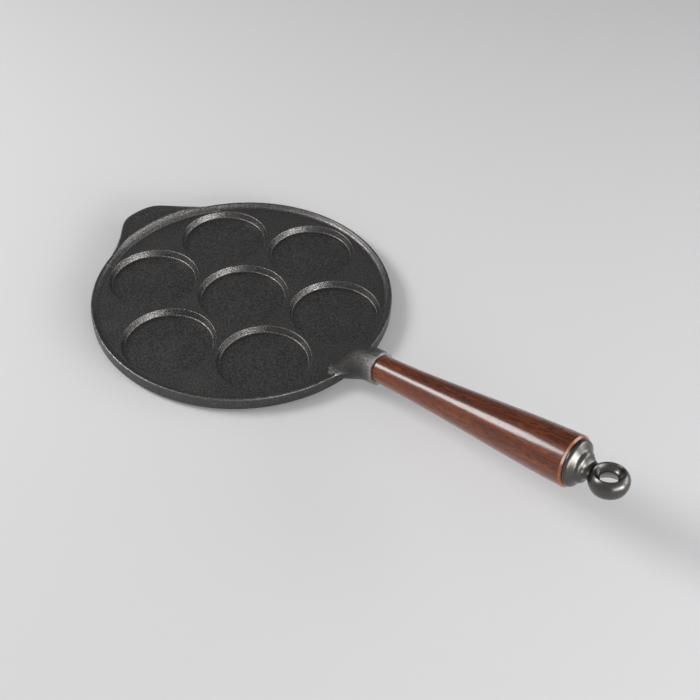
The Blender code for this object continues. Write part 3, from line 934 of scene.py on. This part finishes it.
capLook = {
    "grainsPerMetre": 1600.0,
    "pitting": 0.6,
    "grainDepth": 0.000015,
    "grainStops": ((0.35, 0.0), (0.65, 1.0)),
    "dark": (0.088, 0.083, 0.077),
    "light": (0.122, 0.116, 0.108),
    "worn": (0.360, 0.345, 0.325),
    "wear": 0.4,
    "wearBreakUp": 150.0,
    "marksPerMetre": 160.0,
    "roughLow": 0.27,
    "roughHigh": 0.32,
}


def polishedIron():
    material, tree, shader = startMaterial("blackened polished iron")
    look = capLook
    skin = useGroup(tree, castGrain, {"Grains per metre": look["grainsPerMetre"], "Pitting": look["pitting"]})
    wear = useGroup(tree, edgeWear, {"Amount": look["wear"], "Break-up": look["wearBreakUp"]})["Wear"]
    smear = useGroup(tree, handMarks, {"Marks per metre": look["marksPerMetre"]})["Smear"]
    grain = ramp(tree, skin["Grain"], look["grainStops"])
    colour = blendColours(tree, grain, look["dark"], look["light"])
    colour = blendColours(tree, wear, colour, look["worn"])
    tree.links.new(colour, shader.inputs["Base Color"])
    rough = remap(tree, smear, 0.0, 1.0, look["roughLow"], look["roughHigh"])
    tree.links.new(rough, shader.inputs["Roughness"])
    addBump(tree, shader, skin["Height"], look["grainDepth"])
    shader.inputs["Metallic"].default_value = 1.0
    return material


steelLook = {
    "grainsPerMetre": 2200.0,
    "pitting": 0.1,
    "dark": (0.46, 0.46, 0.47),
    "light": (0.62, 0.62, 0.63),
    "turnsPerMetre": 200.0,
    "turnDepth": 0.0003,
    "marksPerMetre": 120.0,
    "roughLow": 0.28,
    "roughHigh": 0.42,
}


def platedSteel():
    material, tree, shader = startMaterial("zinc plated steel")
    look = steelLook
    place = addNode(tree, "TexCoord").outputs["Object"]
    skin = useGroup(tree, castGrain, {"Grains per metre": look["grainsPerMetre"], "Pitting": look["pitting"]})
    smear = useGroup(tree, handMarks, {"Marks per metre": look["marksPerMetre"]})["Smear"]
    along = addNode(tree, "Mapping", {"Vector": place, "Rotation": (0.0, handleAngle, 0.0)}).outputs["Vector"]
    waves = {"Vector": along, "Scale": look["turnsPerMetre"]}
    turns = addNode(tree, "TexWave", waves, bands_direction="X").outputs["Fac"]  # the tool's turning marks
    colour = blendColours(tree, skin["Grain"], look["dark"], look["light"])
    tree.links.new(colour, shader.inputs["Base Color"])
    rough = remap(tree, smear, 0.0, 1.0, look["roughLow"], look["roughHigh"])
    tree.links.new(rough, shader.inputs["Roughness"])
    addBump(tree, shader, turns, look["turnDepth"])
    shader.inputs["Metallic"].default_value = 1.0
    return material


def dress(thing, material):
    thing.data.materials.clear()
    thing.data.materials.append(material)


iron, hardwood = seasonedIron(), stainedWood()
capIron, steel = polishedIron(), platedSteel()
dress(pan, iron)
dress(wood, hardwood)
dress(endCap, capIron)
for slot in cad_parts["tie_rod"].material_slots:
    slot.material = steel
print("finishes made")


# Which piece stands for which node

for piece, node, slotName in ((pan, "pan_casting", "seasoned_iron"), (wood, "wood_grip", "hardwood"),
                              (endCap, "eye_cap", "polished_iron")):
    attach(piece, "root")
    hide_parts(node)


# Floor, light and camera

room = {
    "floorSize": 6.0,
    "floorColour": (0.66, 0.655, 0.66),
    "floorRough": 0.9,
    "floorShine": 0.1,
    "worldStrength": 0.53,
    "paleSide": (0.97, 0.98, 1.0),
    "darkSide": (0.0, 0.0, 0.0),
    "darkWay": (-0.49, 0.53, 0.69),  # where the dark side lies
    "darkFrom": 0.25,
    "darkFull": 0.90,
    "darkening": 0.60,
    "lampAim": (0.09, 0.0, 0.02),
}

# Angles are in degrees, the azimuth from +X towards +Y. Narrow beams keep the floor beside low lamps even.
softboxes = (  # name, azimuth, angle above the floor, distance, width and height, power, beam
    ("left softbox", -145, 38, 1.5, (0.58, 0.52), 13.5, 180),
    ("right softbox", -6, 15, 1.4, (1.2, 0.5), 4.5, 100),
    ("small softbox", 10, 12, 1.3, (0.34, 0.3), 3.4, 180),
    ("far softbox", 48, 16, 1.4, (0.9, 0.5), 2.0, 100),
)


def makeFloor():
    half = room["floorSize"] / 2
    shape = bmesh.new()
    corners = [(-half, -half, 0.0), (half, -half, 0.0), (half, half, 0.0), (-half, half, 0.0)]
    shape.faces.new([shape.verts.new(corner) for corner in corners])
    floor = makeObject("floor", shape)
    material, tree, shader = startMaterial("pale floor")
    shader.inputs["Base Color"].default_value = (*room["floorColour"], 1.0)
    shader.inputs["Roughness"].default_value = room["floorRough"]
    shader.inputs["Specular IOR Level"].default_value = room["floorShine"]
    dress(floor, material)


def addSoftbox(name, azimuth, height, distance, size, power, beam):
    lamp = bpy.data.lights.new(name, "AREA")
    lamp.shape = "RECTANGLE"
    lamp.size, lamp.size_y = size
    lamp.energy = power
    lamp.spread = math.radians(beam)
    box = bpy.data.objects.new(name, lamp)
    scene.collection.objects.link(box)
    turn, lift = math.radians(azimuth), math.radians(height)
    way = Vector((math.cos(turn) * math.cos(lift), math.sin(turn) * math.cos(lift), math.sin(lift)))
    box.location = Vector(room["lampAim"]) + way * distance
    box.rotation_euler = way.to_track_quat("Z", "Y").to_euler()


def makeWorld():  # a pale room with a dark side, which the level parts of the pan reflect
    world = bpy.data.worlds.new("studio")
    world.use_nodes = True
    tree = world.node_tree
    background = tree.nodes["Background"]
    way = addNode(tree, "TexCoord").outputs["Generated"]
    facing = addNode(tree, "VectorMath", {0: way, 1: room["darkWay"]}, operation="DOT_PRODUCT")
    dark = {"Value": facing.outputs["Value"], "From Min": room["darkFrom"], "From Max": room["darkFull"],
            "To Max": room["darkening"]}
    dark = addNode(tree, "MapRange", dark, interpolation_type="SMOOTHSTEP").outputs[0]
    tree.links.new(blendColours(tree, dark, room["paleSide"], room["darkSide"]), background.inputs["Color"])
    background.inputs["Strength"].default_value = room["worldStrength"]
    scene.world = world


makeFloor()
for softbox in softboxes:
    addSoftbox(*softbox)
makeWorld()

view = {  # the camera's place in metres, its turn in degrees and its lens in millimetres
    "place": (0.46968, -0.38389, 0.53707),
    "turn": (45.748, -1.138, 43.902),
    "lens": 53.184,
    "sensor": 36.0,
    "near": 0.01,
    "far": 20.0,
}

camera = bpy.data.objects.new("camera", bpy.data.cameras.new("camera"))
scene.collection.objects.link(camera)
turn = Euler([math.radians(angle) for angle in view["turn"]])
camera.matrix_world = Matrix.Translation(view["place"]) @ turn.to_matrix().to_4x4()
camera.data.lens = view["lens"]
camera.data.sensor_width = view["sensor"]
camera.data.clip_start, camera.data.clip_end = view["near"], view["far"]
scene.camera = camera
scene.view_settings.view_transform = "Standard"
print("studio set")
